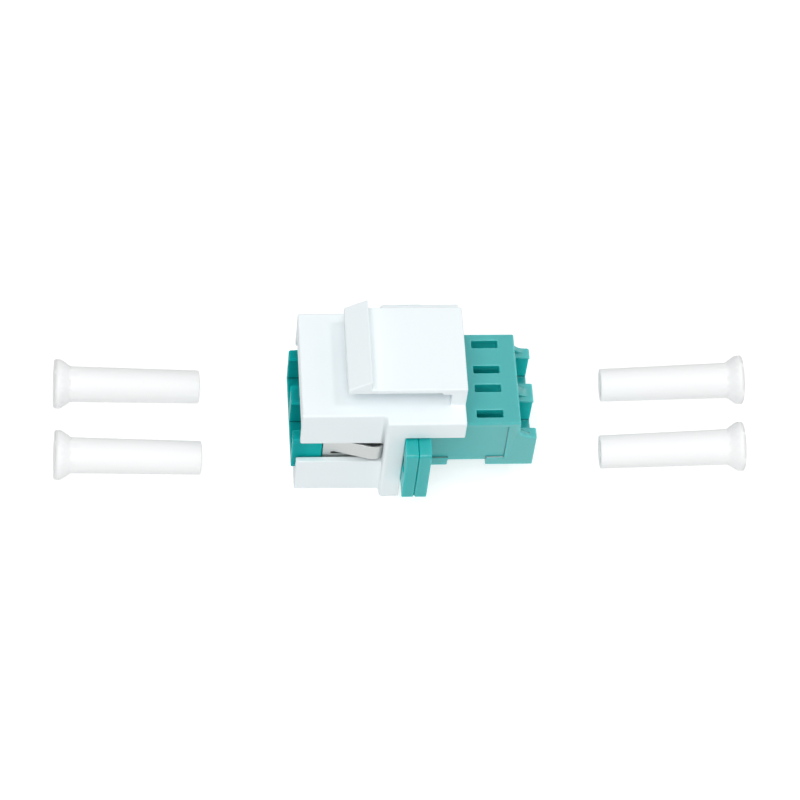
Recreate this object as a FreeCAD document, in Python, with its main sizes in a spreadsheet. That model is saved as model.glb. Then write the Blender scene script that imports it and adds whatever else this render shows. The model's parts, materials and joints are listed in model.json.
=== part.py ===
import FreeCAD, Part
import os
import re
import Sketcher

# Keystone fibre coupler: a moulded keystone housing with a snap latch, holding a duplex adapter
# made of two welded halves, its spring clip, two alignment sleeves and four dust caps taken off.
# Frame: +X runs from the front of the panel to its rear, +Z is up. The origin is on the centre
# line, on the underside of the housing, in the plane where the shoulders stop against the panel.

SIZES = {
    # Keystone housing, round the adapter
    "side_wall": 0.77,
    "front_length": 9.9,
    "sill_reach": 0.3,
    "shoulder_proud": 1.2,
    "shoulder_depth": 2.35,
    "canopy_length": 7.0,
    "canopy_thickness": 3.1,
    "canopy_gap": 0.25,
    "insert_clearance": 0.15,
    "slot_height": 4.1,
    "slot_rise": 4.55,
    "edge_round": 0.4,
    "rim_round": 0.25,
    # Snap latch and fixed hook: together they grip the edges of the panel's opening
    "panel_thickness": 1.9,
    "latch_width": 11.7,
    "latch_gap": 2.49,
    "arm_thickness": 0.8,
    "web_thickness": 1.8,
    "catch_height": 1.7,
    "wedge_length": 2.75,
    "hook_width": 9.0,
    "hook_height": 1.0,
    "hook_length": 2.4,
    # Adapter half, measured from the weld seam and from its own underside
    "adapter_level": 3.6,
    "half_length": 14.55,
    "end_setback": 2.2,
    "end_curve": 1.7,
    "end_bevel": 0.2,
    "flange_width": 21.7,
    "flange_thickness": 1.5,
    "flange_hole": 2.3,
    "flange_hole_edge": 2.0,
    "seam_bevel": 0.15,
    "corner_round": 0.25,
    "port_pitch": 6.25,
    "port_width": 4.65,
    "port_height": 4.6,
    "port_floor": 1.15,
    "lip_gap": 3.75,
    "lip_thickness": 0.3,
    "channel_width": 5.1,
    "channel_height": 2.3,
    "outer_wall": 0.705,
    "roof_wall": 0.85,
    "middle_wall": 1.0,
    "window_setback": 5.2,
    "window_length": 3.13,
    "window_width": 1.04,
    "window_pitch": 3.6,
    "window_round": 0.15,
    # Ferrule sleeves and the holders moulded round them
    "sleeve_diameter": 1.62,
    "sleeve_bore": 1.25,
    "sleeve_length": 6.8,
    "sleeve_slit": 0.2,
    "sleeve_clearance": 0.04,
    "holder_wall": 0.42,
    "holder_lip": 0.45,
    "holder_throat": 1.4,
    "holder_mouth": 2.0,
    # Spring clip and the recess it lies in
    "sheet_thickness": 0.25,
    "bend_radius": 0.15,
    "recess_depth": 0.25,
    "recess_setback": 1.35,
    "recess_margin": 0.75,
    "foot_height": 1.5,
    "near_foot": 4.26,
    "far_foot": 8.84,
    "strap_recess": 0.75,
    "clip_clearance": 0.1,
    "tongue_setback": 1.75,
    "tongue_top_gap": 0.6,
    "tongue_base_gap": 0.85,
    "tongue_reach": 1.2,
    "tongue_crown": 1.1,
    "crown_drop": 0.1,
    "crown_radius": 2.0,
    "tongue_lip": 0.35,
    "tongue_hook": 0.2,
    "tongue_slit": 0.5,
    "slit_relief": 0.7,
    # Dust caps, and where they lie beside the coupler
    "cap_length": 17.6,
    "cap_diameter": 4.35,
    "cap_tip_diameter": 4.05,
    "cap_rim_diameter": 6.0,
    "cap_rim_length": 0.8,
    "cap_flare": 1.2,
    "cap_bore": 2.8,
    "cap_bore_depth": 13.0,
    "cap_bevel": 0.15,
    "front_cap_gap": 10.6,
    "rear_left_cap_gap": 8.8,
    "rear_right_cap_gap": 9.65,
    "front_cap_spacing": 10.15,
    "rear_cap_spacing": 9.65,
    "cap_row_offset": 1.65,
}

# Measures that follow from the sizes above
DERIVED = {
    "adapter_width": "port_pitch + channel_width + 2 * outer_wall",
    "half_adapter": "adapter_width / 2",
    "half_opening": "half_adapter + insert_clearance",
    "half_housing": "half_opening + side_wall",
    "half_shoulder": "half_housing + shoulder_proud",
    "port_axis": "port_floor + port_height / 2",
    "port_top": "port_floor + port_height",
    "end_height": "port_top + lip_thickness",
    "channel_top": "end_height + channel_height",
    "adapter_height": "channel_top + roof_wall",
    "adapter_top": "adapter_level + adapter_height",
    "canopy_base": "adapter_top + canopy_gap",
    "housing_height": "canopy_base + canopy_thickness",
    "arm_base": "housing_height + latch_gap",
    "opening_height": "arm_base + arm_thickness",
    "slot_base": "adapter_level + slot_rise - slot_height / 2",
    "canopy_end": "shoulder_depth + canopy_length",
    "web_front": "canopy_end - web_thickness",
    "wedge_front": "-panel_thickness - wedge_length",
    "seam": "shoulder_depth + flange_thickness",
    "roof_length": "half_length - end_setback",
    "window_start": "roof_length - window_setback",
    "flange_hole_pitch": "flange_width - 2 * flange_hole_edge",
    "recess_end": "roof_length - recess_setback",
    "recess_top": "adapter_height - recess_margin",
    "recess_plane": "half_adapter - recess_depth",
    "holder_bore": "sleeve_diameter + 2 * sleeve_clearance",
    "holder_diameter": "holder_bore + 2 * holder_wall",
    "sleeve_end": "sleeve_length / 2 + sleeve_clearance",
    "holder_end": "sleeve_end + holder_lip",
    "clip_face": "recess_plane + sheet_thickness",
    "tongue_root": "recess_end - tongue_setback",
    "tongue_height": "slot_height - tongue_top_gap - tongue_base_gap",
    "tongue_base": "slot_rise - slot_height / 2 + tongue_base_gap",
    "tongue_top": "tongue_base + tongue_height",
    "tongue_tip": "seam + clip_clearance",
    "tongue_fold": "tongue_tip + tongue_lip",
    "tongue_bend": "tongue_tip + tongue_crown",
    "cap_slope": "(cap_rim_diameter - cap_tip_diameter) / 2 / (cap_length - cap_rim_length)",
    "cap_axis_height": "(cap_rim_diameter / 2 + cap_rim_length * cap_slope) / sqrt(1 + cap_slope ^ 2)",
}

TOLERANCE = 1e-6

doc = FreeCAD.newDocument("keystone_fibre_coupler")
sheet = doc.addObject("Spreadsheet::Sheet", "Sizes")


def fill_sheet():
    """Write the driving sizes as plain numbers, then the measures that follow from them."""
    for row, (alias, value) in enumerate(SIZES.items(), start=1):
        sheet.set(f"A{row}", str(value))
        sheet.setAlias(f"A{row}", alias)
    doc.recompute()
    for row, (alias, formula) in enumerate(DERIVED.items(), start=1):
        sheet.set(f"B{row}", f"={formula}")
        sheet.setAlias(f"B{row}", alias)
        doc.recompute()


def bound(formula):
    """Turn the sheet's words in a formula into references to its cells."""
    names = SIZES.keys() | DERIVED.keys()
    return re.sub(r"[a-z_]+", lambda word: f"Sizes.{word[0]}" if word[0] in names else word[0], formula)


def measure(formula):
    """The present value of a formula, in millimetres."""
    return float(sheet.evalExpression(bound(formula)))


def new_body(label):
    body = doc.addObject("PartDesign::Body", label)
    body.Label = label
    return body


def sketch_on(body, plane_role, name, offset="0"):
    """A sketch on one of the body's origin planes, moved along the plane's normal."""
    plane = next(item for item in body.Origin.OriginFeatures if item.Role == plane_role)
    sketch = body.newObject("Sketcher::SketchObject", name)
    sketch.AttachmentSupport = [(plane, "")]
    sketch.MapMode = "FlatFace"
    sketch.setExpression("AttachmentOffset.Base.z", bound(offset))
    return sketch


def fix(sketch, kind, formula, *places):
    """Add one dimension to a sketch and bind it to the sheet."""
    index = sketch.addConstraint(Sketcher.Constraint(kind, *places, measure(formula)))
    sketch.setExpression(f"Constraints[{index}]", bound(formula))


def add_outline(sketch, corners):
    """A closed outline through corners that are pairs of formulas."""
    points = [FreeCAD.Vector(measure(x), measure(y), 0) for x, y in corners]
    first = sketch.GeometryCount
    count = len(points)
    for index, point in enumerate(points):
        sketch.addGeometry(Part.LineSegment(point, points[(index + 1) % count]), False)
    for index, (x, y) in enumerate(corners):
        following = first + (index + 1) % count
        sketch.addConstraint(Sketcher.Constraint("Coincident", first + index, 2, following, 1))
        fix(sketch, "DistanceX", x, -1, 1, first + index, 1)
        fix(sketch, "DistanceY", y, -1, 1, first + index, 1)


def add_rectangle(sketch, left, right, bottom, top):
    add_outline(sketch, [(left, bottom), (right, bottom), (right, top), (left, top)])


def add_circle(sketch, x, y, diameter):
    centre = FreeCAD.Vector(measure(x), measure(y), 0)
    circle = sketch.addGeometry(Part.Circle(centre, FreeCAD.Vector(0, 0, 1), measure(diameter) / 2), False)
    fix(sketch, "DistanceX", x, -1, 1, circle, 3)
    fix(sketch, "DistanceY", y, -1, 1, circle, 3)
    fix(sketch, "Diameter", diameter, circle)


def pad(body, sketch, length, midplane=False, back=False):
    feature = body.newObject("PartDesign::Pad", f"{sketch.Name}_pad")
    feature.Profile = sketch
    feature.SideType = "Symmetric" if midplane else "One side"
    feature.Reversed = back
    feature.setExpression("Length", bound(length))
    doc.recompute()


def pocket(body, sketch, length, midplane=False, back=False):
    """Cut a sketch into the body, and make sure that it took something away."""
    before = body.Shape.Volume
    feature = body.newObject("PartDesign::Pocket", f"{sketch.Name}_pocket")
    feature.Profile = sketch
    feature.SideType = "Symmetric" if midplane else "One side"
    feature.Reversed = back
    feature.setExpression("Length", bound(length))
    doc.recompute()
    if body.Shape.Volume >= before:
        raise RuntimeError(f"{body.Label}: {sketch.Name} cuts nothing")


def revolve(body, sketch, kind):
    """Turn a sketch once round its own horizontal axis, to add material or to cut a groove."""
    feature = body.newObject(kind, f"{sketch.Name}_turned")
    feature.Profile = sketch
    feature.ReferenceAxis = (sketch, ["H_Axis"])
    feature.Angle = 360
    doc.recompute()


def round_edges(body, name, radius, chosen, kind="PartDesign::Fillet", size="Radius"):
    """Fillet or chamfer the edges of the body's present shape that a test chooses."""
    base = body.Tip
    names = [f"Edge{index}" for index, edge in enumerate(base.Shape.Edges, start=1) if chosen(edge)]
    if not names:
        raise RuntimeError(f"{body.Label}: {name} finds no edge")
    feature = body.newObject(kind, name)
    feature.Base = (base, names)
    feature.setExpression(size, bound(radius))
    doc.recompute()


def near(value, formula):
    return abs(value - measure(formula)) < TOLERANCE


def runs_along(edge, axis):
    """True for a straight edge along one of the frame's axes."""
    if not isinstance(edge.Curve, Part.Line):
        return False
    return abs(abs(getattr(edge.Curve.Direction, axis)) - 1) < TOLERANCE


def place(body, x, y, z, turn):
    """Set a body down at a place given by formulas, turned about the vertical."""
    body.Placement = FreeCAD.Placement(FreeCAD.Vector(), FreeCAD.Rotation(FreeCAD.Vector(0, 0, 1), turn))
    for axis, formula in zip("xyz", (x, y, z)):
        body.setExpression(f"Placement.Base.{axis}", bound(formula))


def make_housing():
    """The white moulding: front box, side shoulders, canopy, root of the latch and fixed hook."""
    body = new_body("keystone_housing")

    front = sketch_on(body, "YZ_Plane", "front_box", "-front_length")
    add_rectangle(front, "-half_housing", "half_housing", "0", "housing_height")
    pad(body, front, "front_length")

    shoulder = sketch_on(body, "YZ_Plane", "shoulder")
    add_rectangle(shoulder, "-half_shoulder", "half_shoulder", "0", "housing_height")
    pad(body, shoulder, "shoulder_depth")

    canopy = sketch_on(body, "YZ_Plane", "canopy")
    add_rectangle(canopy, "-half_shoulder", "half_shoulder", "canopy_base", "housing_height")
    pad(body, canopy, "canopy_end")

    web = sketch_on(body, "XZ_Plane", "latch_web")
    add_rectangle(web, "web_front", "canopy_end", "housing_height", "opening_height")
    pad(body, web, "latch_width", midplane=True)

    hook = sketch_on(body, "XZ_Plane", "fixed_hook")
    add_outline(hook, [
        ("-panel_thickness - hook_length", "0"),
        ("-panel_thickness - hook_length / 2", "-hook_height"),
        ("-panel_thickness", "-hook_height"),
        ("-panel_thickness", "0"),
    ])
    pad(body, hook, "hook_width", midplane=True)

    sill = sketch_on(body, "XZ_Plane", "front_sill")
    add_rectangle(sill, "-front_length - sill_reach", "-front_length", "0", "slot_base")
    pad(body, sill, "2 * half_housing", midplane=True)

    def shoulder_corner(edge):
        at = edge.CenterOfMass
        outer = near(abs(at.y), "half_shoulder")
        inner = near(abs(at.y), "half_housing")
        return runs_along(edge, "z") and near(at.x, "0") and (outer or inner)

    round_edges(body, "shoulder_rounds", "edge_round", shoulder_corner)

    def top_edge(edge):
        at = edge.CenterOfMass
        on_top = runs_along(edge, "x") and near(at.z, "housing_height") and at.x < 0
        return on_top and near(abs(at.y), "half_housing")

    round_edges(body, "top_rounds", "rim_round", top_edge)

    opening = sketch_on(body, "YZ_Plane", "adapter_opening", "-front_length - sill_reach")
    add_rectangle(
        opening, "-half_opening", "half_opening",
        "adapter_level - insert_clearance", "adapter_top + insert_clearance",
    )
    pocket(body, opening, "sill_reach + front_length + shoulder_depth", back=True)

    slot = sketch_on(body, "XZ_Plane", "side_slot")
    add_rectangle(slot, "-front_length", "0", "slot_base", "slot_base + slot_height")
    pocket(body, slot, "2 * half_shoulder", midplane=True)
    return body


def make_latch_arm():
    """The sprung arm of the latch, with the wedge that snaps behind the panel's upper edge."""
    body = new_body("latch_arm")
    side = sketch_on(body, "XZ_Plane", "arm_side")
    add_outline(side, [
        ("wedge_front", "arm_base"),
        ("web_front", "arm_base"),
        ("web_front", "opening_height"),
        ("-panel_thickness", "opening_height"),
        ("-panel_thickness", "opening_height + catch_height"),
        ("wedge_front", "opening_height"),
    ])
    pad(body, side, "latch_width", midplane=True)
    return body


def clip_outline(inset):
    """Side outline of the clip's recess, between the feet and under the roof, drawn in by an inset."""
    return [
        (f"flange_thickness + {inset}", f"foot_height + {inset}"),
        (f"near_foot + {inset}", f"foot_height + {inset}"),
        (f"near_foot + {inset}", "0"),
        (f"far_foot - {inset}", "0"),
        (f"far_foot - {inset}", f"foot_height + {inset}"),
        (f"recess_end - {inset}", f"foot_height + {inset}"),
        (f"recess_end - {inset}", f"recess_top - {inset}"),
        (f"flange_thickness + {inset}", f"recess_top - {inset}"),
    ]


def make_adapter_half(label, turn):
    """One half of the duplex adapter. The same moulding, turned round, makes the other half."""
    body = new_body(label)
    sides = ("-", "+")

    block = sketch_on(body, "XZ_Plane", "block")
    add_outline(block, [
        ("0", "0"),
        ("half_length", "0"),
        ("half_length", "end_height"),
        ("roof_length", "end_height"),
        ("roof_length", "adapter_height"),
        ("0", "adapter_height"),
    ])
    pad(body, block, "adapter_width", midplane=True)

    def end_corner(edge):
        at = edge.CenterOfMass
        return runs_along(edge, "y") and near(at.x, "roof_length") and near(at.z, "end_height")

    round_edges(body, "end_curves", "end_curve", end_corner)

    def outer_end_corner(edge):
        at = edge.CenterOfMass
        return runs_along(edge, "y") and near(at.x, "half_length") and near(at.z, "end_height")

    round_edges(body, "end_bevels", "end_bevel", outer_end_corner, "PartDesign::Chamfer", "Size")

    def roof_edge(edge):
        at = edge.CenterOfMass
        at_end = runs_along(edge, "y") and near(at.x, "roof_length")
        return near(at.z, "adapter_height") and (at_end or runs_along(edge, "x"))

    round_edges(body, "roof_rounds", "corner_round", roof_edge)

    flange = sketch_on(body, "YZ_Plane", "flange")
    add_rectangle(flange, "-flange_width / 2", "flange_width / 2", "0", "adapter_height")
    pad(body, flange, "flange_thickness")

    def seam_edge(edge):
        at = edge.CenterOfMass
        return near(edge.BoundBox.XLength, "0") and near(at.x, "0")

    round_edges(body, "seam_bevels", "seam_bevel", seam_edge, "PartDesign::Chamfer", "Size")

    ports = sketch_on(body, "YZ_Plane", "ports", "half_length")
    for side in sides:
        middle = f"{side}port_pitch / 2"
        add_outline(ports, [
            (f"{middle} - port_width / 2", "port_floor"),
            (f"{middle} + port_width / 2", "port_floor"),
            (f"{middle} + port_width / 2", "port_top"),
            (f"{middle} + lip_gap / 2", "port_top"),
            (f"{middle} + lip_gap / 2", "end_height"),
            (f"{middle} + channel_width / 2", "end_height"),
            (f"{middle} + channel_width / 2", "channel_top"),
            (f"{middle} - channel_width / 2", "channel_top"),
            (f"{middle} - channel_width / 2", "end_height"),
            (f"{middle} - lip_gap / 2", "end_height"),
            (f"{middle} - lip_gap / 2", "port_top"),
            (f"{middle} - port_width / 2", "port_top"),
        ])
    pocket(body, ports, "half_length - middle_wall")

    holders = sketch_on(body, "YZ_Plane", "sleeve_holders")
    bores = sketch_on(body, "YZ_Plane", "holder_bores")
    for side in sides:
        add_circle(holders, f"{side}port_pitch / 2", "port_axis", "holder_diameter")
        add_circle(bores, f"{side}port_pitch / 2", "port_axis", "holder_bore")
    pad(body, holders, "holder_end")
    pocket(body, bores, "sleeve_end", back=True)
    for name, outward in (("left", "+"), ("right", "-")):
        mouth = sketch_on(body, "XZ_Plane", f"{name}_mouth", f"{outward}port_pitch / 2")
        mouth.setExpression("AttachmentOffset.Base.y", bound("port_axis"))
        add_outline(mouth, [
            ("sleeve_end", "0"),
            ("holder_end", "0"),
            ("holder_end", "holder_mouth / 2"),
            ("sleeve_end", "holder_throat / 2"),
        ])
        revolve(body, mouth, "PartDesign::Groove")

    windows = sketch_on(body, "XY_Plane", "roof_windows", "adapter_height")
    for side in sides:
        for edge in sides:
            middle = f"{side}port_pitch / 2 {edge} window_pitch / 2"
            add_rectangle(
                windows, "window_start", "window_start + window_length",
                f"{middle} - window_width / 2", f"{middle} + window_width / 2",
            )
    pocket(body, windows, "roof_wall")

    def window_corner(edge):
        return runs_along(edge, "z") and near(edge.CenterOfMass.z, "adapter_height - roof_wall / 2")

    round_edges(body, "window_corners", "window_round", window_corner)

    for name, outward in (("left", "+"), ("right", "-")):
        recess = sketch_on(body, "XZ_Plane", f"{name}_recess", f"{outward}half_adapter")
        add_outline(recess, clip_outline("0"))
        pocket(body, recess, "recess_depth", back=name == "right")

    strap = sketch_on(body, "XZ_Plane", "strap_seat")
    add_rectangle(strap, "near_foot", "far_foot", "0", "strap_recess")
    pocket(body, strap, "adapter_width", midplane=True)

    def seat_corner(edge):
        at = edge.CenterOfMass
        along = runs_along(edge, "x") and near(abs(at.y), "recess_plane")
        return along and near(at.z, "strap_recess")

    round_edges(body, "seat_rounds", "bend_radius", seat_corner)

    holes = sketch_on(body, "YZ_Plane", "flange_holes")
    for side in sides:
        add_circle(holes, f"{side}flange_hole_pitch / 2", "adapter_height / 2", "flange_hole")
    pocket(body, holes, "flange_thickness", back=True)

    place(body, "seam", "0", "adapter_level", turn)
    return body


def make_spring_clip():
    """The folded steel clip: a strap under the adapter, two side plates and a sprung tongue in each."""
    body = new_body("spring_clip")
    strap_base = "strap_recess - sheet_thickness"

    plate = sketch_on(body, "XZ_Plane", "plate", "-clip_face")
    corners = clip_outline("clip_clearance")
    corners[2:4] = [(x, strap_base) for x, _ in corners[2:4]]
    add_outline(plate, corners)
    pad(body, plate, "2 * clip_face")

    inside = sketch_on(body, "YZ_Plane", "inside")
    add_rectangle(inside, "-recess_plane", "recess_plane", "strap_recess", "adapter_height")
    pocket(body, inside, "half_length", back=True)

    window = sketch_on(body, "XZ_Plane", "tongue_window")
    add_outline(window, [
        ("tongue_tip - tongue_slit", "tongue_base - tongue_slit"),
        ("tongue_root + slit_relief", "tongue_base - tongue_slit"),
        ("tongue_root + slit_relief", "tongue_base"),
        ("tongue_root", "tongue_base"),
        ("tongue_root", "tongue_top"),
        ("tongue_root + slit_relief", "tongue_top"),
        ("tongue_root + slit_relief", "tongue_top + tongue_slit"),
        ("tongue_tip - tongue_slit", "tongue_top + tongue_slit"),
    ])
    pocket(body, window, "2 * clip_face", midplane=True)

    tongues = sketch_on(body, "XY_Plane", "tongues", "tongue_base")
    tongue_line = [
        ("tongue_root + sheet_thickness", "0"),
        ("tongue_bend", "tongue_reach"),
        ("tongue_fold", "tongue_reach - crown_drop"),
        ("tongue_tip", "tongue_reach - crown_drop - tongue_hook"),
    ]
    for side in ("-", "+"):
        outer = [(x, f"{side}(clip_face + {lift})") for x, lift in tongue_line]
        inner = [(x, f"{side}(recess_plane + {lift})") for x, lift in reversed(tongue_line)]
        add_outline(tongues, outer + inner)
    pad(body, tongues, "tongue_height")

    def strap_bend(face, level):
        def chosen(edge):
            at = edge.CenterOfMass
            return runs_along(edge, "x") and near(abs(at.y), face) and near(at.z, level)
        return chosen

    def tongue_edge(x, face):
        def chosen(edge):
            at = edge.CenterOfMass
            return runs_along(edge, "z") and near(at.x, x) and near(abs(at.y), face)
        return chosen

    round_edges(body, "inner_bends", "bend_radius", strap_bend("recess_plane", "strap_recess"))
    round_edges(body, "outer_bends", "bend_radius + sheet_thickness", strap_bend("clip_face", strap_base))
    for name, (x, lift), radius in (
        ("crown", tongue_line[1], "crown_radius"),
        ("lip", tongue_line[2], "bend_radius"),
    ):
        round_edges(body, f"inner_{name}s", radius, tongue_edge(x, f"recess_plane + {lift}"))
        outer_radius = f"{radius} + sheet_thickness"
        round_edges(body, f"outer_{name}s", outer_radius, tongue_edge(x, f"clip_face + {lift}"))
    place(body, "seam", "0", "adapter_level", 180)
    return body


def make_sleeve(label, side):
    """A split ceramic sleeve, which lines up the two ferrules of one channel."""
    body = new_body(label)
    tube = sketch_on(body, "YZ_Plane", "tube")
    add_circle(tube, "0", "0", "sleeve_diameter")
    add_circle(tube, "0", "0", "sleeve_bore")
    pad(body, tube, "sleeve_length", midplane=True)
    slit = sketch_on(body, "XY_Plane", "slit")
    add_rectangle(slit, "-sleeve_length / 2", "sleeve_length / 2", "-sleeve_slit / 2", "sleeve_slit / 2")
    pocket(body, slit, "sleeve_diameter / 2", back=True)
    place(body, "seam", f"{side}port_pitch / 2", "adapter_level + port_axis", 0)
    return body


def make_dust_cap(label, x, y, turn):
    """A dust cap lying on its rim and tip, so its axis dips towards the tip."""
    body = new_body(label)
    profile = sketch_on(body, "XZ_Plane", "profile")
    profile.AttachmentOffset = FreeCAD.Placement(
        FreeCAD.Vector(), FreeCAD.Rotation(FreeCAD.Vector(0, 0, -1), 1),
    )
    profile.setExpression("AttachmentOffset.Rotation.Angle", bound("atan(cap_slope)"))
    add_outline(profile, [
        ("0", "0"),
        ("0", "cap_rim_diameter / 2"),
        ("cap_rim_length", "cap_rim_diameter / 2"),
        ("cap_rim_length + cap_flare", "cap_diameter / 2"),
        ("cap_length", "cap_tip_diameter / 2"),
        ("cap_length", "cap_bore / 2"),
        ("cap_length - cap_bore_depth", "cap_bore / 2"),
        ("cap_length - cap_bore_depth", "0"),
    ])
    revolve(body, profile, "PartDesign::Revolution")

    def rim_edge(edge):
        return isinstance(edge.Curve, Part.Circle) and near(edge.Curve.Radius, "cap_rim_diameter / 2")

    round_edges(body, "rim_bevels", "cap_bevel", rim_edge, "PartDesign::Chamfer", "Size")
    place(body, x, y, "cap_axis_height - hook_height", turn)
    return body


def check(bodies):
    doc.recompute()
    for item in doc.Objects:
        if {"Invalid", "Error"} & set(item.State):
            raise RuntimeError(f"{item.Label}: {item.State}")
    for body in bodies:
        if body.Shape.isNull() or not body.Shape.isValid():
            raise RuntimeError(f"{body.Label}: shape is not valid")
        print(f"{body.Label}: {len(body.Shape.Solids)} solid, {body.Shape.Volume:.2f} mm3")


def main():
    fill_sheet()
    front_rims = "seam - half_length - front_cap_gap - cap_length"
    rear_rims = "seam + half_length + {gap} + cap_length"
    bodies = [
        make_housing(),
        make_latch_arm(),
        make_adapter_half("adapter_rear_half", 0),
        make_adapter_half("adapter_front_half", 180),
        make_spring_clip(),
        make_sleeve("left_sleeve", "-"),
        make_sleeve("right_sleeve", "+"),
    ]
    for name, side in (("left", "-"), ("right", "+")):
        front_row = f"cap_row_offset {side} front_cap_spacing / 2"
        rear_row = f"cap_row_offset {side} rear_cap_spacing / 2"
        rear_rim = rear_rims.format(gap=f"rear_{name}_cap_gap")
        bodies.append(make_dust_cap(f"front_{name}_cap", front_rims, front_row, 0))
        bodies.append(make_dust_cap(f"rear_{name}_cap", rear_rim, rear_row, 180))
    check(bodies)
    os.makedirs("parts", exist_ok=True)
    for body in bodies:
        body.Shape.exportStep(f"parts/{body.Label}.step")


main()
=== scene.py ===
# %% [markdown]
# Keystone fibre coupler: the looks.
# The coupler is a white snap-in housing with a sprung latch. It holds an aqua duplex adapter, which
# is two welded mouldings with a steel clip, and four dust caps lie beside it. The solids already
# have their real size and place, so this lesson only dresses them: it rounds the edges that a mould
# rounds, and gives each piece its finish, the light and the camera.

# %% Load the solids and keep their box
import json
import math

import bpy
from mathutils import Matrix, Vector

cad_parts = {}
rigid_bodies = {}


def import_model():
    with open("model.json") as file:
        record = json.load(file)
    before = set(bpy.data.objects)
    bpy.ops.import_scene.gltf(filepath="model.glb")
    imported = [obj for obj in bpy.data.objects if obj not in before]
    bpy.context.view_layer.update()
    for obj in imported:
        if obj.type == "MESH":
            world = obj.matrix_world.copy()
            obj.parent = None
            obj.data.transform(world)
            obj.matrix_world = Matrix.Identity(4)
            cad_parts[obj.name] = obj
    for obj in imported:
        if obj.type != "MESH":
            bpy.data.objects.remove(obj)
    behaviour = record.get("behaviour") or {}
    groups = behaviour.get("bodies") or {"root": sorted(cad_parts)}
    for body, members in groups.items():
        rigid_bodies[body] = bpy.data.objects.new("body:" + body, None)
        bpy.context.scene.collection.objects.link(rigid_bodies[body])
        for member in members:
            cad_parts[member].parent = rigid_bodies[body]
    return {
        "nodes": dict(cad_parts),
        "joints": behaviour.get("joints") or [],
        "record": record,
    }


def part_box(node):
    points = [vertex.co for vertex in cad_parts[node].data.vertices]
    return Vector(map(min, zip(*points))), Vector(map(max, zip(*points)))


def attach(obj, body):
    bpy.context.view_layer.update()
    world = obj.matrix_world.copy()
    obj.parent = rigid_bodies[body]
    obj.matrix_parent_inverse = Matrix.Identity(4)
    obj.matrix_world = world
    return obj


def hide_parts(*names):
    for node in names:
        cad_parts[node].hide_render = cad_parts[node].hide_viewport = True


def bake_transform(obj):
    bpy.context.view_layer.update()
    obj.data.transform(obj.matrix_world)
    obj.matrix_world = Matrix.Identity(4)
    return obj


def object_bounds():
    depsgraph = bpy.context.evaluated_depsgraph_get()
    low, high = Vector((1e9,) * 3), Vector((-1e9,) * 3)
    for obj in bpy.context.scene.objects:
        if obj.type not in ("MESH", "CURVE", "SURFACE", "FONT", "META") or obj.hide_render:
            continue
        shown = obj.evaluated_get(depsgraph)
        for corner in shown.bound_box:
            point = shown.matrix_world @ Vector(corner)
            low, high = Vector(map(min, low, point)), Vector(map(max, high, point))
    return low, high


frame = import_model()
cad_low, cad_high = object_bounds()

MM = 0.001
print("nodes:", ", ".join(sorted(frame["nodes"])))

# %% [markdown]
# Copying a solid by hand.
# A solid comes in as loose triangles, so its copy is first merged and its flat faces are joined.
# Only then do edges run as they do on the drawing, and can be selected by how sharp they are. A
# remesh would join the triangles too, but it would blur the fine lips and windows. The copy is
# worked on in millimetres, because the tools for edges are made for shapes of about that size, and
# it goes back to metres when it is finished.

# %% A merged copy of a solid, in millimetres
MERGE_DISTANCE = 0.0015
FLAT_ANGLE = math.radians(0.4)


def select_only(piece):
    bpy.ops.object.select_all(action="DESELECT")
    piece.select_set(True)
    bpy.context.view_layer.objects.active = piece


def copy_of(node, name):
    """A separate piece with the node's form, its corners merged and its flat faces joined."""
    select_only(frame["nodes"][node])
    bpy.ops.object.duplicate()
    piece = bpy.context.object
    bpy.ops.object.parent_clear(type="CLEAR")
    piece.name = name
    piece.data.name = name
    for key in [key for key in piece.keys() if key.startswith("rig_")]:
        del piece[key]
    piece.data.transform(Matrix.Scale(1 / MM, 4))
    bpy.ops.object.mode_set(mode="EDIT")
    bpy.ops.mesh.select_all(action="SELECT")
    bpy.ops.mesh.remove_doubles(threshold=MERGE_DISTANCE)
    bpy.ops.mesh.dissolve_limited(angle_limit=FLAT_ANGLE)
    bpy.ops.object.mode_set(mode="OBJECT")
    return piece


# %% [markdown]
# Rounding the edges.
# No moulded or stamped piece has a truly sharp edge, and it is the thin bright line along each
# round that makes plastic look like plastic. A bevel modifier could round every sharp edge by one
# rule. In edit mode the edges can be chosen: the sharp ones are selected by their angle, and those
# that meet another piece flush, or lie too close together for two rounds, are let go. The width
# isn't clamped, because the short facets of one curve would then thin every round of the piece.

# %% Round the sharp edges
SHARP_ANGLE = math.radians(50)


def round_edges(piece, width, segments, keep=lambda middle: False):
    """Bevel every sharp edge of the piece, apart from those whose middle the test keeps."""
    select_only(piece)
    bpy.ops.object.mode_set(mode="EDIT")
    bpy.ops.mesh.select_mode(type="EDGE")
    bpy.ops.mesh.select_all(action="DESELECT")
    bpy.ops.mesh.edges_select_sharp(sharpness=SHARP_ANGLE)
    bpy.ops.object.mode_set(mode="OBJECT")
    mesh = piece.data
    for edge in mesh.edges:
        first, second = (mesh.vertices[index].co for index in edge.vertices)
        if edge.select and keep((first + second) / 2):
            edge.select = False
    for part in (*mesh.polygons, *mesh.vertices):
        part.select = False
    chosen = sum(edge.select for edge in mesh.edges)
    bpy.ops.object.mode_set(mode="EDIT")
    bpy.ops.mesh.bevel(
        offset=width, segments=segments, affect="EDGES", clamp_overlap=False, loop_slide=False,
    )
    bpy.ops.object.mode_set(mode="OBJECT")
    print(f"{piece.name}: {chosen} sharp edges rounded by {width} mm, {len(mesh.polygons)} faces")


# %% [markdown]
# Cutting across a piece.
# The arm and the caps need vertices where their solids have none, to bend or to shade well. A
# subdivision would add them all over, and a bisect adds one ring just where it is asked for.

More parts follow.
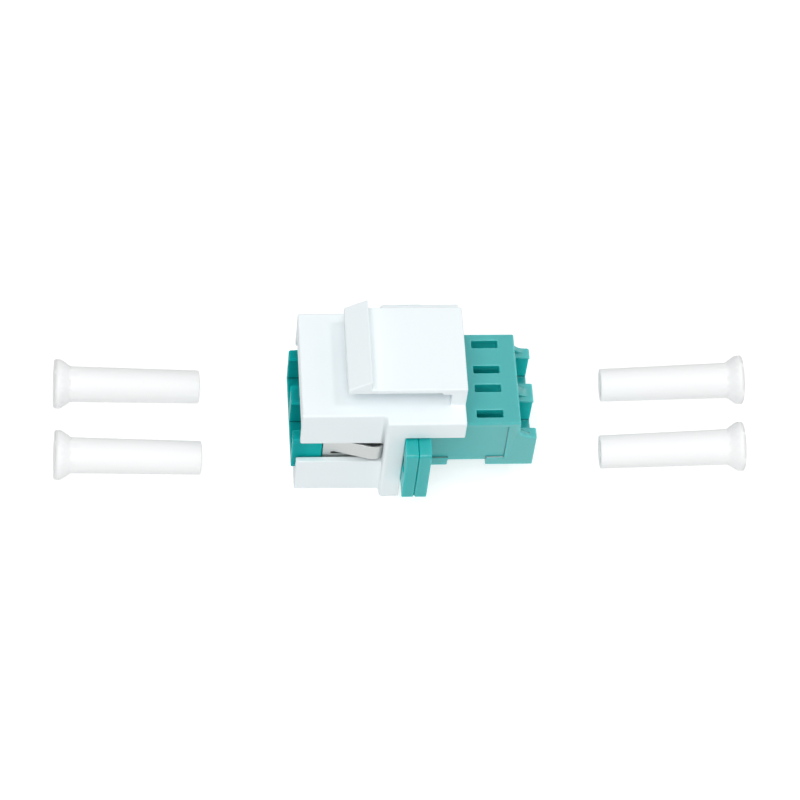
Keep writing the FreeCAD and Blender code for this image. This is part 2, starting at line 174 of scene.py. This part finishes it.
# %% Cut a piece across its length
def cut_across(piece, places):
    """Cut the piece at each place along X, in millimetres."""
    select_only(piece)
    bpy.ops.object.mode_set(mode="EDIT")
    for x in places:
        bpy.ops.mesh.select_all(action="SELECT")
        bpy.ops.mesh.bisect(plane_co=(x, 0, 0), plane_no=(1, 0, 0))
    bpy.ops.object.mode_set(mode="OBJECT")


# %% [markdown]
# Shading a finished piece.
# A moulding is flat on its large faces and turns only at its rounds. Smooth shading alone would
# spread each turn over the flat faces too, so weighted normals keep those flat, and only the rounds
# catch the light. The piece then rides on its body and stands for its solid.

# %% Shade a piece and let it stand for its solid
SMOOTH_ANGLE = math.radians(40)


def stand_for(piece, node, body="coupler"):
    """Bring the piece back to metres, shade it, and let it stand for its solid."""
    select_only(piece)
    piece.data.transform(Matrix.Scale(MM, 4))
    bpy.ops.object.shade_smooth_by_angle(angle=SMOOTH_ANGLE, keep_sharp_edges=False)
    weighted = piece.modifiers.new("flat_faces", "WEIGHTED_NORMAL")
    weighted.keep_sharp = True
    bpy.ops.object.modifier_apply(modifier=weighted.name)
    if body:
        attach(piece, body)
    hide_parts(node)
    return piece


# %% [markdown]
# The housing.
# On the real coupler the housing and its latch are one moulding: the arm is a tongue of the same
# plastic, and it bends. The housing could be modelled anew, but its solid has the true form, so a
# copy with rounded edges is enough. The two solids meet at the root of the arm. No edge is rounded
# there, so the white runs on without a seam. The ends of the side slots and the underside below
# them have drawn rounds already, so those edges are let go too.

# %% White housing
HOUSING_ROUND = 0.16
HOUSING_SEGMENTS = 3
NEAR = 0.06
ROOT_BELOW = 2.0
SLOT_LEVELS = (6.1, 10.2)
SLOT_END = 0.7
SHOULDER_BACK = 2.35
CANOPY_BASE = 13.0
STEP_BAND = 0.12

root = frame["joints"][0]["pos_m"]
root_x = root[0] / MM
root_z = root[2] / MM


def on_root(middle):
    return abs(middle.x - root_x) < NEAR and middle.z > root_z - ROOT_BELOW


def drawn_round(middle):
    """True at the root of the arm, at the ends of the slots, and in the step under the canopy."""
    off_level = min(abs(middle.z - level) for level in (0, *SLOT_LEVELS))
    slot_end = abs(middle.x) < SLOT_END and off_level < NEAR
    step = abs(middle.x - SHOULDER_BACK) < NEAR and abs(middle.z - CANOPY_BASE) < STEP_BAND
    return on_root(middle) or slot_end or step


housing = copy_of("keystone_housing", "housing_moulding")
round_edges(housing, HOUSING_ROUND, HOUSING_SEGMENTS, keep=drawn_round)
stand_for(housing, "keystone_housing")

# %% [markdown]
# The sprung arm.
# The arm is a little thicker at its root, because a sharp corner there would crack when it bends.
# It is cut close to its root, and its underside is pulled down there in a short ramp. More cuts
# follow further out, because a mesh can bend only where it has vertices.

# %% Sprung latch arm
ROOT_STEP = 0.36
ROOT_RAMP = (0.95, 1.2)
BEND_CUTS = (1.6, 2.3, 3.0, 3.7, 4.4, 5.1, 5.8, 6.4, 7.05)

arm = copy_of("latch_arm", "latch_moulding")
round_edges(arm, HOUSING_ROUND, HOUSING_SEGMENTS, keep=on_root)
cut_across(arm, [root_x - reach for reach in (*ROOT_RAMP, *BEND_CUTS)])
ramp_middle = sum(ROOT_RAMP) / 2
underside = root_z + HOUSING_ROUND + NEAR
for vertex in arm.data.vertices:
    if root_x - vertex.co.x < ramp_middle and vertex.co.z < underside:
        vertex.co.z -= ROOT_STEP
stand_for(arm, "latch_arm", body=None)
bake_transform(arm)

# %% [markdown]
# The adapter's two halves.
# Each half is the same moulding turned round. Its rounds make the light lines along the windows,
# the flange and the end walls, and the top edges at the ends of the flange get wider ones. One
# bevel for all edges would cross over itself where they lie close together, so a test lets those
# go: the lips beside the latch channel, the sleeve holders and the underside of the roof, which are
# hidden in the ports, and the notch where the roof meets the flange.

# %% Edges of the adapter that stay sharp
ROOF_WALL = 0.85
LIP_BAND = (9.3, 9.7)
CHANNEL_HALF = 2.6
HOLDER_REACH = 4.6
HOLDER_BAND = (5.4, 8.7)
FLANGE_FACE = 1.5
NOTCH_BAND = 0.16
NOTCH_DEPTH = 0.4
NOTCH_HALF = 7.6
SEAM_BAND = 0.18

adapter_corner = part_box("adapter_front_half")[1]
seam_x = adapter_corner.x / MM
flange_y = adapter_corner.y / MM
roof_z = adapter_corner.z / MM
mounts = {mount["name"]: mount for mount in frame["record"]["mounts"]}
port_y = abs(mounts["left_ferrule_bore"]["pos_m"][1]) / MM


def not_flange_top(middle):
    """True for every edge but the top ones at the ends of the flange, clear of the seam."""
    at_end = abs(middle.y) > flange_y - NEAR and middle.z > roof_z - NEAR
    return not at_end or abs(middle.x - seam_x) < SEAM_BAND


def in_port(middle):
    """True for the close edges in the ports, and where the roof's rounds run into the flange."""
    reach = abs(middle.x - seam_x)
    in_channel = abs(abs(middle.y) - port_y) < CHANNEL_HALF
    lips = in_channel and LIP_BAND[0] < middle.z < LIP_BAND[1]
    holder = in_channel and reach < HOLDER_REACH and HOLDER_BAND[0] < middle.z < HOLDER_BAND[1]
    ceiling = abs(middle.z - roof_z + ROOF_WALL) < NEAR
    at_flange = abs(reach - FLANGE_FACE) < NOTCH_BAND
    notch = at_flange and middle.z > roof_z - NOTCH_DEPTH and abs(middle.y) < NOTCH_HALF
    return lips or holder or ceiling or notch


print(f"seam at x {seam_x:.2f} mm, ports at y {port_y:.3f} mm, roof at z {roof_z:.2f} mm")

# %% Aqua adapter halves
ADAPTER_ROUND = 0.12
FLANGE_ROUND = 0.36
FINE_SEGMENTS = 2

halves = []
for end in ("front", "rear"):
    node = f"adapter_{end}_half"
    half = copy_of(node, f"adapter_{end}_moulding")
    round_edges(half, FLANGE_ROUND, FINE_SEGMENTS, keep=not_flange_top)
    round_edges(half, ADAPTER_ROUND, FINE_SEGMENTS, keep=in_port)
    halves.append(stand_for(half, node))

# %% [markdown]
# The clip and the sleeves.
# The clip is stamped from thin sheet, so it has only a trace of a round. The ceramic sleeves are
# ground, and their ends are broken by a small bevel. Such edges could stay sharp at this size, but
# then they would catch no light at all when someone looks closely.

# %% Spring clip and alignment sleeves
CLIP_ROUND = 0.03
SLEEVE_ROUND = 0.04

clip = copy_of("spring_clip", "clip_sheet")
round_edges(clip, CLIP_ROUND, FINE_SEGMENTS)
stand_for(clip, "spring_clip")

sleeves = []
for side in ("left", "right"):
    sleeve = copy_of(f"{side}_sleeve", f"{side}_sleeve_ground")
    round_edges(sleeve, SLEEVE_ROUND, FINE_SEGMENTS)
    sleeves.append(stand_for(sleeve, f"{side}_sleeve"))

# %% [markdown]
# The dust caps.
# The caps are soft plastic with full edges. The line where the flare meets the tube is too flat to
# count as a sharp edge, and smooth shading would spread its turn along the whole tube. A bevel there
# left dark spots. A cut on both sides of the line holds the turn in place, and the tube stays even.

# %% Dust caps
CAP_ROUND = 0.14
FLARE_CUTS = (1.65, 2.35)

caps = []
for end, outward in (("front", -1), ("rear", 1)):
    for side in ("left", "right"):
        node = f"{end}_{side}_cap"
        low_x, high_x = (corner.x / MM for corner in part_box(node))
        rim_x = high_x if outward > 0 else low_x
        cap = copy_of(node, f"{node}_moulding")
        round_edges(cap, CAP_ROUND, FINE_SEGMENTS)
        cut_across(cap, [rim_x - outward * cut for cut in FLARE_CUTS])
        caps.append(stand_for(cap, node))

# %% [markdown]
# The grain of a mould.
# Every moulded face carries the fine texture of the steel it was pressed against, and its colour
# and gloss drift a little over a larger distance. The nodes could be repeated in each material. The
# effect is the same for all, so it is one node group, and each material sets how coarse and how
# deep its grain is.

# %% Shared node group
GRAIN_DETAIL = 2
DRIFT_DETAIL = 3


def add(tree, kind, **settings):
    node = tree.nodes.new(kind)
    for key, value in settings.items():
        setattr(node, key, value)
    return node


def new_group(name, inputs, outputs):
    """A shader node group with named sockets, and its two end nodes."""
    group = bpy.data.node_groups.new(name, "ShaderNodeTree")
    for label, value in inputs.items():
        socket = group.interface.new_socket(label, in_out="INPUT", socket_type="NodeSocketFloat")
        socket.default_value = value
    for label in outputs:
        group.interface.new_socket(label, in_out="OUTPUT", socket_type="NodeSocketFloat")
    return group, add(group, "NodeGroupInput"), add(group, "NodeGroupOutput")


def moulded_grain():
    group, entry, leave = new_group(
        "moulded_grain",
        {"Grain Scale": 6000, "Drift Scale": 90, "Low": 0.35, "High": 0.45},
        ["Height", "Drift", "Roughness"],
    )
    place = add(group, "ShaderNodeTexCoord")
    grain = add(group, "ShaderNodeTexNoise")
    grain.inputs["Detail"].default_value = GRAIN_DETAIL
    drift = add(group, "ShaderNodeTexNoise")
    drift.inputs["Detail"].default_value = DRIFT_DETAIL
    spread = add(group, "ShaderNodeMapRange")
    links = group.links
    links.new(place.outputs["Object"], grain.inputs["Vector"])
    links.new(place.outputs["Object"], drift.inputs["Vector"])
    links.new(entry.outputs["Grain Scale"], grain.inputs["Scale"])
    links.new(entry.outputs["Drift Scale"], drift.inputs["Scale"])
    links.new(drift.outputs["Fac"], spread.inputs["Value"])
    links.new(entry.outputs["Low"], spread.inputs["To Min"])
    links.new(entry.outputs["High"], spread.inputs["To Max"])
    links.new(grain.outputs["Fac"], leave.inputs["Height"])
    links.new(drift.outputs["Fac"], leave.inputs["Drift"])
    links.new(spread.outputs["Result"], leave.inputs["Roughness"])
    return group


GRAIN = moulded_grain()
print("node group:", GRAIN.name)

# %% [markdown]
# The plastics and the ceramic.
# Each is a Principled shader with two close tones of its colour, which the drift mixes, a roughness
# from the same group and a shallow bump from the grain. One flat colour would look like paint. The
# white is matt, so its edges have no hard gleam. The aqua lets light in a little way, which softens
# its shades. The ceramic is finely ground, so its grain is shallow and its gloss high.

# %% Plastics and ceramic
def grained(name, light, dark, grain_scale, depth, roughness, **shader):
    """A finish with two close tones, a drifting gloss and a grain of a depth in millimetres."""
    material = bpy.data.materials.new(name)
    material.use_nodes = True
    tree = material.node_tree
    surface = tree.nodes["Principled BSDF"]
    group = add(tree, "ShaderNodeGroup", node_tree=GRAIN)
    group.inputs["Grain Scale"].default_value = grain_scale
    group.inputs["Low"].default_value = roughness[0]
    group.inputs["High"].default_value = roughness[1]
    tones = add(tree, "ShaderNodeMix", data_type="RGBA")
    tones.inputs["A"].default_value = (*dark, 1)
    tones.inputs["B"].default_value = (*light, 1)
    bump = add(tree, "ShaderNodeBump")
    bump.inputs["Strength"].default_value = 1
    bump.inputs["Distance"].default_value = depth * MM
    tree.links.new(group.outputs["Drift"], tones.inputs["Factor"])
    tree.links.new(tones.outputs["Result"], surface.inputs["Base Color"])
    tree.links.new(group.outputs["Roughness"], surface.inputs["Roughness"])
    tree.links.new(group.outputs["Height"], bump.inputs["Height"])
    tree.links.new(bump.outputs["Normal"], surface.inputs["Normal"])
    for label, value in shader.items():
        surface.inputs[label.replace("_", " ")].default_value = value
    print(f"{name}: {len(tree.nodes)} nodes")
    return material


white_plastic = grained(
    "white_plastic", light=(0.88, 0.944, 0.966), dark=(0.866, 0.93, 0.954),
    grain_scale=5200, depth=0.0025, roughness=(0.55, 0.66), IOR=1.5,
)
aqua_plastic = grained(
    "aqua_plastic", light=(0.006, 0.437, 0.434), dark=(0.004, 0.412, 0.409),
    grain_scale=6400, depth=0.002, roughness=(0.3, 0.4), IOR=1.5,
    Specular_IOR_Level=0.02, Coat_Roughness=0.3, Coat_IOR=1.85,
    Subsurface_Weight=1.0, Subsurface_Radius=(0.2, 1.0, 1.0), Subsurface_Scale=0.9 * MM,
)
cap_plastic = grained(
    "cap_plastic", light=(0.942, 0.95, 0.954), dark=(0.932, 0.94, 0.945),
    grain_scale=4200, depth=0.002, roughness=(0.55, 0.65), IOR=1.45,
)
sleeve_ceramic = grained(
    "sleeve_ceramic", light=(0.84, 0.82, 0.76), dark=(0.8, 0.78, 0.72),
    grain_scale=9000, depth=0.0008, roughness=(0.12, 0.2), IOR=2.1,
)

# %% [markdown]
# Masks by place.
# The adapter's sheen and its painted light and shade follow the edges of the moulding. They could
# be painted on by hand, but a mask that is worked out from the object's own coordinates needs no
# picture and stays on its edge. Along X it runs from the front to the rear, aside it counts from the
# middle to both sides, and up it is the height. All limits are in millimetres.

# %% Masks on the adapter's own coordinates
SOFT_EDGE = 0.05
FINE_EDGE = 0.02

aqua = aqua_plastic.node_tree
aqua_place = add(aqua, "ShaderNodeTexCoord")
aqua_axes = add(aqua, "ShaderNodeSeparateXYZ")
off_middle = add(aqua, "ShaderNodeMath", operation="ABSOLUTE")
aqua.links.new(aqua_place.outputs["Object"], aqua_axes.inputs["Vector"])
aqua.links.new(aqua_axes.outputs["Y"], off_middle.inputs[0])
ALONG, ASIDE, UP = aqua_axes.outputs["X"], off_middle.outputs["Value"], aqua_axes.outputs["Z"]


def band(source, low, high, invert=False):
    """A mask that rises from 0 to 1 between two places, or falls if it is inverted."""
    ramp = add(aqua, "ShaderNodeMapRange")
    ramp.inputs["From Min"].default_value = low * MM
    ramp.inputs["From Max"].default_value = high * MM
    ramp.inputs["To Min"].default_value = 1 if invert else 0
    ramp.inputs["To Max"].default_value = 0 if invert else 1
    aqua.links.new(source, ramp.inputs["Value"])
    return ramp.outputs["Result"]


def combine(operation, *masks):
    total = masks[0]
    for mask in masks[1:]:
        node = add(aqua, "ShaderNodeMath", operation=operation)
        aqua.links.new(total, node.inputs[0])
        aqua.links.new(mask, node.inputs[1])
        total = node.outputs["Value"]
    return total


def within(source, low, high, soft=SOFT_EDGE):
    """A mask that is 1 between two places, with soft edges outside them."""
    rise = band(source, low - soft, low)
    fall = band(source, high, high + soft, invert=True)
    return combine("MINIMUM", rise, fall)


def in_box(along, aside, up):
    """A mask that is 1 inside a box on both sides of the adapter."""
    sides = within(ASIDE, *aside, soft=FINE_EDGE)
    return combine("MINIMUM", within(ALONG, *along), sides, within(UP, *up))


# %% [markdown]
# Sheen of the adapter.
# In the photo the faces behind the panel have a pale sheen, which fades towards the front and hardly
# shows in the ports. A paler colour would look chalky there. A coat lies over the colour, as a gleam
# does, and its weight can follow a mask.

# %% Sheen behind the panel
SHEEN_RISE = (-5.0, 13.0)
PORT_SIDE = (5.5, 5.8)
PORT_TOP = (9.2, 9.45)
PORT_FLOOR = (4.76, 4.78)
LEAST_SHEEN = 0.03

aqua_surface = aqua.nodes["Principled BSDF"]
outside = combine(
    "MAXIMUM", band(ASIDE, *PORT_SIDE), band(UP, *PORT_TOP), band(UP, *PORT_FLOOR, invert=True),
)
sheen = add(aqua, "ShaderNodeMapRange")
sheen.inputs["To Min"].default_value = LEAST_SHEEN
aqua.links.new(combine("MINIMUM", band(ALONG, *SHEEN_RISE), outside), sheen.inputs["Value"])
aqua.links.new(sheen.outputs["Result"], aqua_surface.inputs["Coat Weight"])
print("sheen over", SHEEN_RISE, "mm along X")

# %% [markdown]
# Painted light and shade on the adapter.
# The insides at the rear and the latch channel under the windows are painted lighter, as if more
# light reached them, and the front end is painted darker, as shade. Fine lines of painted shade
# follow the foot of the port walls and the step of the side recess. Light alone would leave them too
# faint, so each is a colour laid over the base colour. The slits beside the sprung tongue look
# almost black. What lies behind them can't be seen, so the wall there is painted in deep shade.

# %% Painted light and shade on the adapter's colour
REAR_INSIDE = (10.0, 13.0)
FRONT_END = (-9.9, -8.5)
WALL_FOOT = (4.8, 4.95)
# Colours of painted light and painted shade, laid over the aqua.
REAR_PAINTED_LIGHT = (0.02, 0.64, 0.63)
FRONT_PAINTED_SHADE = (0.003, 0.34, 0.345)
STEP_PAINTED_SHADE = (0.001, 0.1, 0.098)
DEEP_PAINTED_SHADE = (0.001, 0.012, 0.012)


def paint_light_and_shade(mask, colour, amount):
    """Lay a colour of painted light or painted shade over the base colour where the mask is high."""
    shade = add(aqua, "ShaderNodeMix", data_type="RGBA")
    strength = add(aqua, "ShaderNodeMath", operation="MULTIPLY")
    strength.inputs[1].default_value = amount
    shade.inputs["B"].default_value = (*colour, 1)
    tones = aqua_surface.inputs["Base Color"].links[0].from_socket
    aqua.links.new(mask, strength.inputs[0])
    aqua.links.new(strength.outputs["Value"], shade.inputs["Factor"])
    aqua.links.new(tones, shade.inputs["A"])
    aqua.links.new(shade.outputs["Result"], aqua_surface.inputs["Base Color"])


inside = add(aqua, "ShaderNodeMath", operation="SUBTRACT")
inside.inputs[0].default_value = 1
aqua.links.new(outside, inside.inputs[1])
in_ports = inside.outputs["Value"]

# Painted light: the rear insides of the ports and the latch channel under the windows are made
# lighter.
light_in_rear_ports = combine("MINIMUM", in_ports, band(ALONG, *REAR_INSIDE))
channel = in_box(along=(7.0, 16.1), aside=(0, 5.68), up=(9.0, 12.0))
# Painted shade: a thin dark line in the corner at the foot of the port walls.
shade_at_wall_foot = combine("MINIMUM", in_ports, within(UP, *WALL_FOOT, soft=FINE_EDGE))
# Painted shade: a dark line in the step of the side recess.
shade_in_recess_step = in_box(along=(-7.2, 14.9), aside=(6.16, 6.3), up=(3.9, 11.8))
# Painted shade: the wall behind the tongue's slits is made almost black.
shade_behind_tongue = in_box(along=(-6.1, 0.3), aside=(6.04, 6.2), up=(6.35, 10.15))

# Painted light over the rear ports and the latch channel.
paint_light_and_shade(combine("MAXIMUM", light_in_rear_ports, channel), REAR_PAINTED_LIGHT, amount=0.75)
# Painted shade: the front end is darkened, as on a face turned from the light.
paint_light_and_shade(band(ALONG, *FRONT_END, invert=True), FRONT_PAINTED_SHADE, amount=0.85)
# Painted shade at the foot of the port walls.
paint_light_and_shade(shade_at_wall_foot, DEEP_PAINTED_SHADE, amount=0.6)
# Painted shade in the step of the side recess.
paint_light_and_shade(shade_in_recess_step, STEP_PAINTED_SHADE, amount=0.75)
# Painted deep shade behind the tongue.
paint_light_and_shade(shade_behind_tongue, DEEP_PAINTED_SHADE, amount=1.0)
print(f"{aqua_plastic.name}: {len(aqua.nodes)} nodes with its masks")

# %% [markdown]
# The clip's steel.
# Rolled stainless sheet has fine lines along the rolling direction. Scratches could be drawn one by
# one, but a noise that is stretched along X gives them all, and it drives the colour, the gloss and
# a very shallow bump.

# %% Rolled steel
ROLLING_STRETCH = (250, 9000, 9000)
ROLLING_DETAIL = 4
STEEL_DARK = (0.48, 0.5, 0.49, 1)
STEEL_LIGHT = (0.57, 0.59, 0.58, 1)
STEEL_ROUGHNESS = (0.26, 0.42)
ROLLING_DEPTH = 0.0015


def rolled_steel():
    material = bpy.data.materials.new("clip_steel")
    material.use_nodes = True
    tree = material.node_tree
    surface = tree.nodes["Principled BSDF"]
    surface.inputs["Metallic"].default_value = 1
    place = add(tree, "ShaderNodeTexCoord")
    stretch = add(tree, "ShaderNodeMapping")
    stretch.inputs["Scale"].default_value = ROLLING_STRETCH
    lines = add(tree, "ShaderNodeTexNoise")
    lines.inputs["Scale"].default_value = 1
    lines.inputs["Detail"].default_value = ROLLING_DETAIL
    tones = add(tree, "ShaderNodeMix", data_type="RGBA")
    tones.inputs["A"].default_value = STEEL_DARK
    tones.inputs["B"].default_value = STEEL_LIGHT
    gloss = add(tree, "ShaderNodeMapRange")
    gloss.inputs["To Min"].default_value = STEEL_ROUGHNESS[0]
    gloss.inputs["To Max"].default_value = STEEL_ROUGHNESS[1]
    bump = add(tree, "ShaderNodeBump")
    bump.inputs["Distance"].default_value = ROLLING_DEPTH * MM
    tree.links.new(place.outputs["Object"], stretch.inputs["Vector"])
    tree.links.new(stretch.outputs["Vector"], lines.inputs["Vector"])
    tree.links.new(lines.outputs["Fac"], tones.inputs["Factor"])
    tree.links.new(lines.outputs["Fac"], gloss.inputs["Value"])
    tree.links.new(lines.outputs["Fac"], bump.inputs["Height"])
    tree.links.new(tones.outputs["Result"], surface.inputs["Base Color"])
    tree.links.new(gloss.outputs["Result"], surface.inputs["Roughness"])
    tree.links.new(bump.outputs["Normal"], surface.inputs["Normal"])
    print(f"{material.name}: {len(tree.nodes)} nodes")
    return material


clip_steel = rolled_steel()

# %% [markdown]
# Handing out the finishes.
# A copy still has the plain material of its solid, so that is cleared first. The housing and the
# arm share one white, and the two halves one aqua, as pieces from the same plastic do.

# %% Give each piece its finish
finishes = {
    white_plastic: [housing, arm],
    aqua_plastic: halves,
    clip_steel: [clip],
    sleeve_ceramic: sleeves,
    cap_plastic: caps,
}
for material, pieces in finishes.items():
    for piece in pieces:
        piece.data.materials.clear()
        piece.data.materials.append(material)
print({material.name: len(pieces) for material, pieces in finishes.items()})

# %% [markdown]
# The white ground.
# The product shot has a plain white ground. Enough light to make the floor white would bleach the
# object, so the floor is lifted to white only where the camera or a reflection sees it. To all
# other rays it is a plain grey with a weak glow, as in a light tent, which lifts the caps.

# %% White where it is seen
WHITE = (1, 1, 1, 1)


def seen_directly(tree):
    """1 for rays from the camera and for reflected or refracted ones, and 0 for the rest."""
    path = add(tree, "ShaderNodeLightPath")
    total = path.outputs["Is Camera Ray"]
    for label in ("Is Glossy Ray", "Is Transmission Ray"):
        both = add(tree, "ShaderNodeMath", operation="MAXIMUM")
        tree.links.new(total, both.inputs[0])
        tree.links.new(path.outputs[label], both.inputs[1])
        total = both.outputs["Value"]
    return total


def lift_where_seen(tree, strength, plain, seen):
    """Set an emission strength to one level where it is seen directly, and to another elsewhere."""
    level = add(tree, "ShaderNodeMapRange")
    level.inputs["To Min"].default_value = plain
    level.inputs["To Max"].default_value = seen
    tree.links.new(seen_directly(tree), level.inputs["Value"])
    tree.links.new(level.outputs["Result"], strength)


# %% Floor
FLOOR_SIDE = 6.0
FLOOR_COLOUR = (0.55, 0.55, 0.55, 1)
FLOOR_ROUGHNESS = 0.9
FLOOR_GLOW = 0.33
FLOOR_LIFT = 0.62

bpy.ops.object.select_all(action="DESELECT")
bpy.ops.mesh.primitive_plane_add(size=FLOOR_SIDE, location=(0, 0, cad_low.z))
floor = bpy.context.object
floor.name = "floor"

floor_white = bpy.data.materials.new("floor_white")
floor_white.use_nodes = True
ground = floor_white.node_tree.nodes["Principled BSDF"]
ground.inputs["Base Color"].default_value = FLOOR_COLOUR
ground.inputs["Roughness"].default_value = FLOOR_ROUGHNESS
ground.inputs["Specular IOR Level"].default_value = 0
ground.inputs["Emission Color"].default_value = WHITE
lift_where_seen(floor_white.node_tree, ground.inputs["Emission Strength"], FLOOR_GLOW, FLOOR_LIFT)
floor.data.materials.append(floor_white)
print(f"{floor.name}: {FLOOR_SIDE} m wide, at z {cad_low.z / MM:.2f} mm")

# %% [markdown]
# The world.
# The world stands for the pale walls round the object. It is an even light, low enough for the
# colours to render as they are written, and it shows white behind the floor as the floor does.

# %% World
WORLD_LIGHT = 0.29
WORLD_SEEN = 1.0

world = bpy.data.worlds.new("studio")
bpy.context.scene.world = world
world.use_nodes = True
walls = world.node_tree.nodes["Background"]
walls.inputs["Color"].default_value = WHITE
lift_where_seen(world.node_tree, walls.inputs["Strength"], WORLD_LIGHT, WORLD_SEEN)
print(f"{world.name}: lights at {WORLD_LIGHT}")

# %% [markdown]
# The lamps.
# The light is very soft. A large lamp stands behind the camera, so hardly any shade shows. A small
# one on the right gives the wedge of the latch its narrow band of shade. A weak one low in front
# fills the sides, and three more reach the slope of the wedge, the rear edges and the top of the
# arm. A ring of equal lamps would be simpler, but then the wedge would hardly show. Each place and
# side is in metres, and each power in watts.

# %% Lamps
LAMPS = {
    "key_lamp": {"place": (0.322, -0.022, 0.732), "side": 0.1, "power": 0.75},
    "front_lamp": {"place": (-0.15, -0.42, 0.81), "side": 0.55, "power": 4.7},
    "fill_lamp": {"place": (-0.05, -0.74, 0.36), "side": 0.4, "power": 0.25},
    "top_lamp": {"place": (-0.35, 0.2, 0.8), "side": 0.3, "power": 0.65},
    "rear_lamp": {"place": (0.45, 0.4, 0.42), "side": 0.3, "power": 0.3},
    "right_lamp": {"place": (0.55, -0.12, 0.42), "side": 0.3, "power": 0.4},
}
centre = (cad_low + cad_high) / 2
for name, settings in LAMPS.items():
    bpy.ops.object.light_add(type="AREA", location=settings["place"])
    lamp = bpy.context.object
    lamp.name = name
    lamp.data.size = settings["side"]
    lamp.data.energy = settings["power"]
    towards = centre - Vector(settings["place"])
    lamp.rotation_euler = towards.to_track_quat("-Z", "Y").to_euler()
print("lamps:", ", ".join(LAMPS))

# %% [markdown]
# The camera.
# It looks down on the near side through a long lens, and its angles were fitted to points of the
# photo. A camera that tracks a point would stay level. This one is rolled a little, so its three
# turns are written out.

# %% Camera at the photo's angle
AZIMUTH = math.radians(-9.64)
ELEVATION = math.radians(57.1)
ROLL = math.radians(7.61)
DISTANCE = 409.82 * MM
TARGET = Vector((1.22, -7.41, 19.83)) * MM
SENSOR = 36
FOCAL_RATIO = 4.4149
CLIP_START = 0.01

turn = (
    Matrix.Rotation(AZIMUTH, 4, "Z")
    @ Matrix.Rotation(math.radians(90) - ELEVATION, 4, "X")
    @ Matrix.Rotation(ROLL, 4, "Z")
)
bpy.ops.object.camera_add()
camera = bpy.context.object
camera.matrix_world = Matrix.Translation(TARGET) @ turn @ Matrix.Translation((0, 0, DISTANCE))
camera.data.sensor_width = SENSOR
camera.data.lens = SENSOR * FOCAL_RATIO
camera.data.clip_start = CLIP_START
bpy.context.scene.camera = camera
bpy.context.scene.view_settings.view_transform = "Standard"
print(f"camera: {camera.data.lens:.0f} mm lens, {DISTANCE / MM:.0f} mm away")
